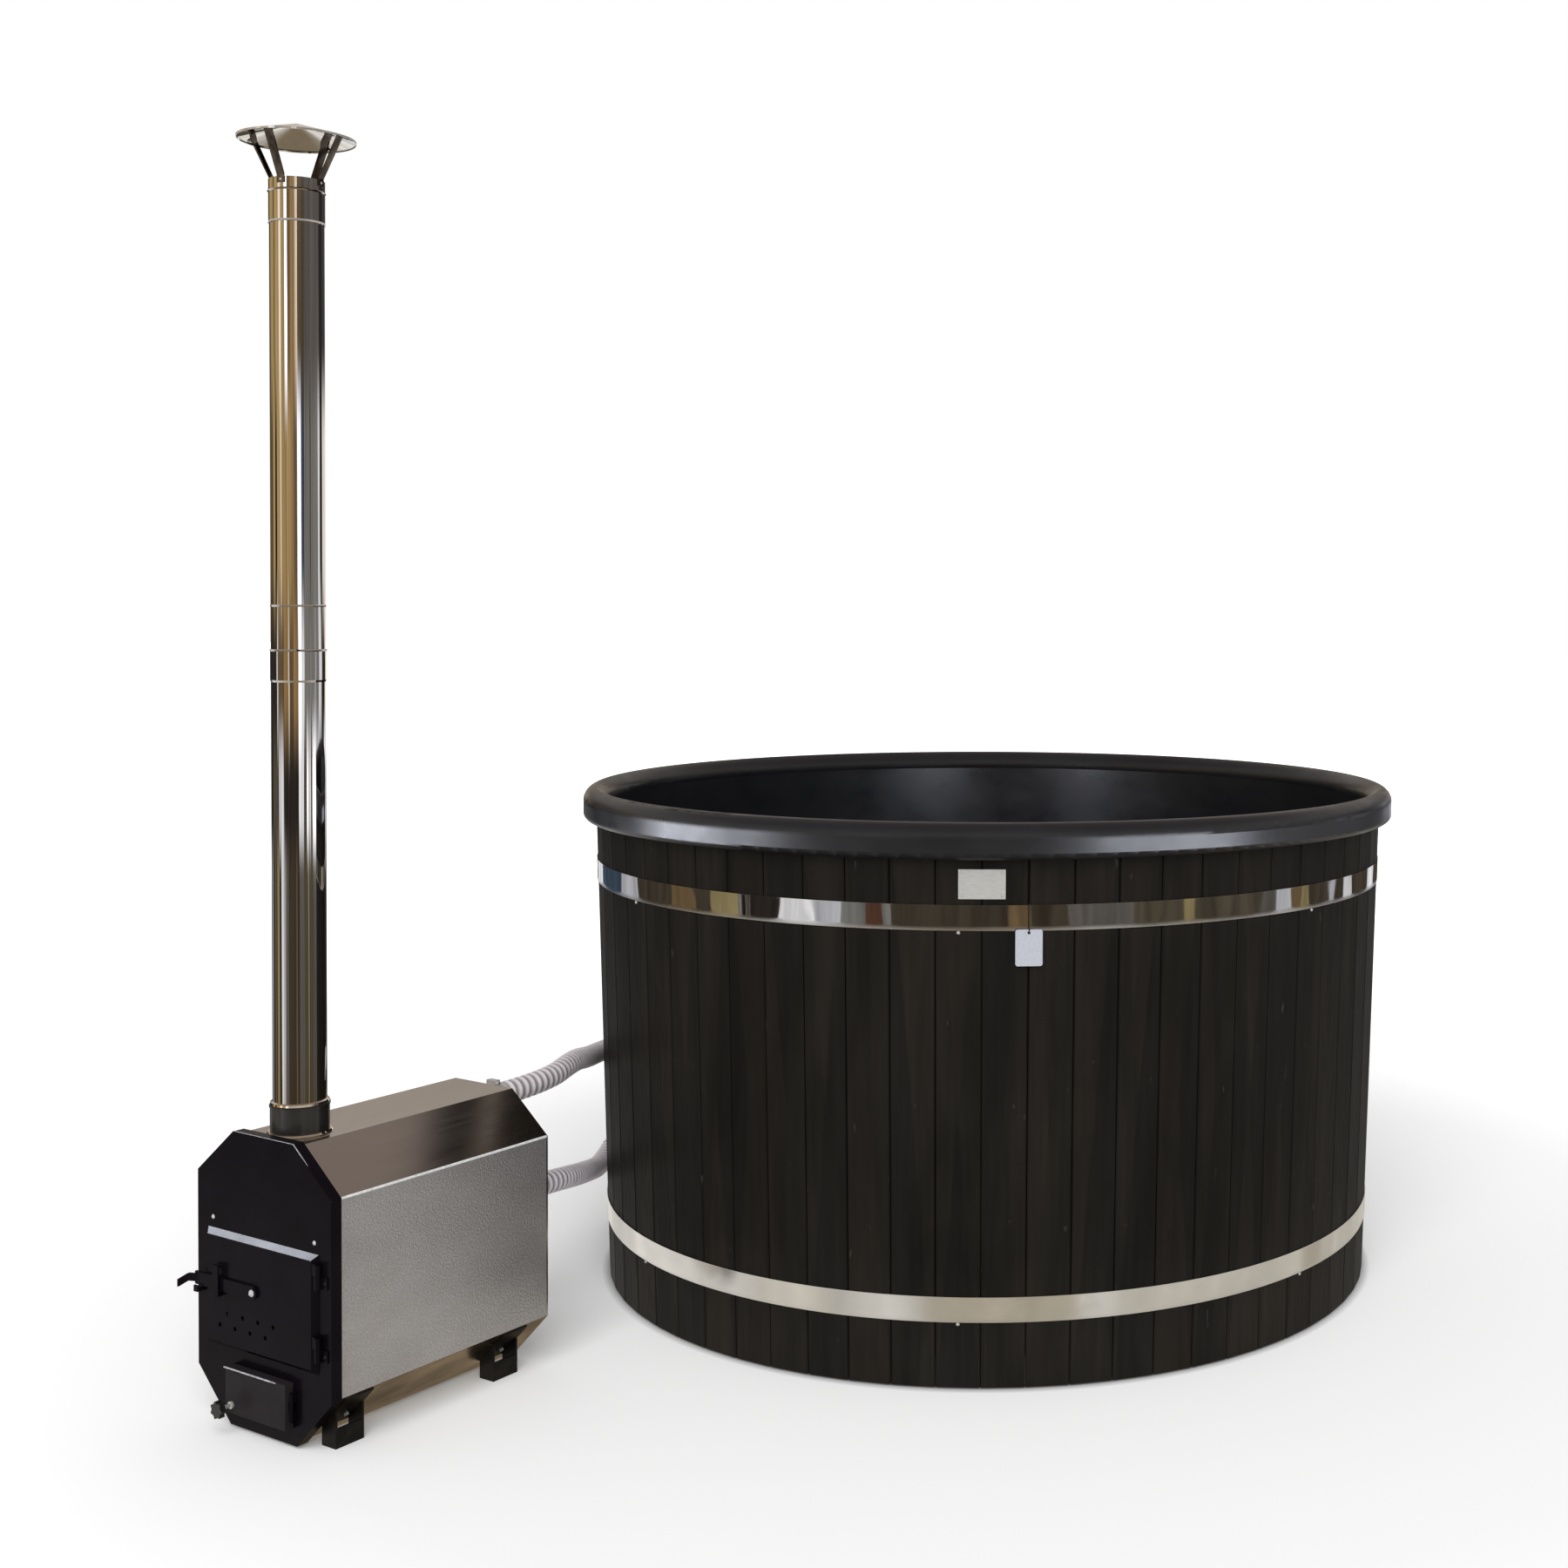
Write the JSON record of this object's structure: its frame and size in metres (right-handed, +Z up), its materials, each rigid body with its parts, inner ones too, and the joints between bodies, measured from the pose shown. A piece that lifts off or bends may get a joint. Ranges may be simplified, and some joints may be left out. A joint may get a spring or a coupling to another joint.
{
  "type": "wood-burning hot tub",
  "caption": "Round moulded tub clad in dark boards with steel hoops, joined by ribbed hoses to an outside octagonal wood stove with a tall flue and rain cap.",
  "frame": {"origin": "on the tub's axis at floor level, on the underside of the middle bearer", "axes": "+Z up, +Y from the stove's front plate to its rear plate and on to the tub, +X to the stove's right seen from its front"},
  "size_m": [1.96, 2.7406, 2.5052],
  "materials": {
    "black_polyethylene": "slightly waxy moulded skin",
    "stained_boards": "charcoal-brown stain on planed boards",
    "bearer_timber": "sawn",
    "hoop_steel": "bright rolled stainless",
    "flue_steel": "mirror stainless",
    "casing_steel": "glossy stainless sheet",
    "embossed_panel": "stucco-embossed sheet",
    "black_stove_paint": "satin heat-proof paint",
    "fire_steel": "plain plate",
    "cast_grate": "raw casting",
    "seal_cord": "woven heat-proof cord",
    "plated_fasteners": "plated or stainless",
    "blank_plate": "blank satin plate",
    "blank_card": "blank white card",
    "tie_cord": "thin cord",
    "grey_fittings": "moulded fitting",
    "knob_plastic": "phenolic",
    "hose_plastic": "semi-gloss ribbed hose"
  },
  "bodies": {
    "tub_and_stove": {"ash_hinge_pin": "plated_fasteners", "ash_plate_knuckles": "black_stove_paint", "base_bearers": "bearer_timber", "cap_rivets": "plated_fasteners", "cap_sleeve": "flue_steel", "cap_straps": "flue_steel", "casing_bottom": "casing_steel", "casing_top": "casing_steel", "cladding_staves": "stained_boards", "collar_weld_ring": "flue_steel", "drain_fitting": "grey_fittings", "elbow_nuts": "grey_fittings", "fire_grate": "cast_grate", "firebox": "fire_steel", "flue_collar": "black_stove_paint", "foot_bolts": "plated_fasteners", "front_feet": "black_stove_paint", "front_plate": "black_stove_paint", "front_screws": "plated_fasteners", "hang_tag": "blank_card", "hang_tag_tie": "tie_cord", "hinge_pins": "plated_fasteners", "hoop_rest_screws": "plated_fasteners", "hoop_tension_bolts": "plated_fasteners", "hose_clamps": "plated_fasteners", "latch_catch": "black_stove_paint", "lower_flue_pipe": "flue_steel", "lower_hoop": "hoop_steel", "lower_hose": "hose_plastic", "nameplate": "blank_plate", "nameplate_screws": "plated_fasteners", "plate_knuckles": "black_stove_paint", "rain_cap": "flue_steel", "rear_feet": "black_stove_paint", "rear_plate": "casing_steel", "side_panel_left": "embossed_panel", "side_panel_right": "embossed_panel", "smoke_baffle": "fire_steel", "stove_spigots": "plated_fasteners", "tub_elbows": "grey_fittings", "tub_floor": "black_polyethylene", "tub_rim": "black_polyethylene", "tub_wall": "black_polyethylene", "upper_flue_pipe": "flue_steel", "upper_hoop": "hoop_steel", "upper_hose": "hose_plastic", "wall_strainers": "grey_fittings", "water_jacket": "fire_steel"},
    "fire_door": {"fire_door": "black_stove_paint", "fire_door_gasket": "seal_cord", "fire_door_shield": "fire_steel", "door_knuckles": "black_stove_paint", "latch_bolt": "plated_fasteners", "latch_guide": "black_stove_paint"},
    "fire_latch": {"latch_bar": "black_stove_paint"},
    "ash_door": {"ash_door": "black_stove_paint", "ash_door_knuckle": "black_stove_paint"},
    "ash_latch": {"ash_knob": "knob_plastic", "ash_knob_shaft": "plated_fasteners"},
    "drain_plug": {"drain_plug": "grey_fittings"}
  },
  "joints": [
    {"name": "fire_door_hinge", "type": "hinge", "parent": "tub_and_stove", "child": "fire_door", "pos_m": [-0.355, -1.715, 0.2735], "axis": [0, 0, 1], "range_deg": [0, 110]},
    {"name": "latch_pivot", "type": "hinge", "parent": "fire_door", "child": "fire_latch", "pos_m": [-0.536, -1.7205, 0.28], "axis": [0, 1, 0], "range_deg": [-2.5, 8]},
    {"name": "ash_door_hinge", "type": "hinge", "parent": "tub_and_stove", "child": "ash_door", "pos_m": [-0.428, -1.7166, 0.083], "axis": [0, 0, 1], "range_deg": [0, 100]},
    {"name": "ash_knob_turn", "type": "hinge", "parent": "ash_door", "child": "ash_latch", "pos_m": [-0.592, -1.707, 0.056], "axis": [0, -1, 0], "range_deg": [0, 90]},
    {"name": "drain_plug_lift", "type": "slide", "parent": "tub_and_stove", "child": "drain_plug", "axis": [0, 0, 1], "range_m": [0, 0.06]}
  ]
}
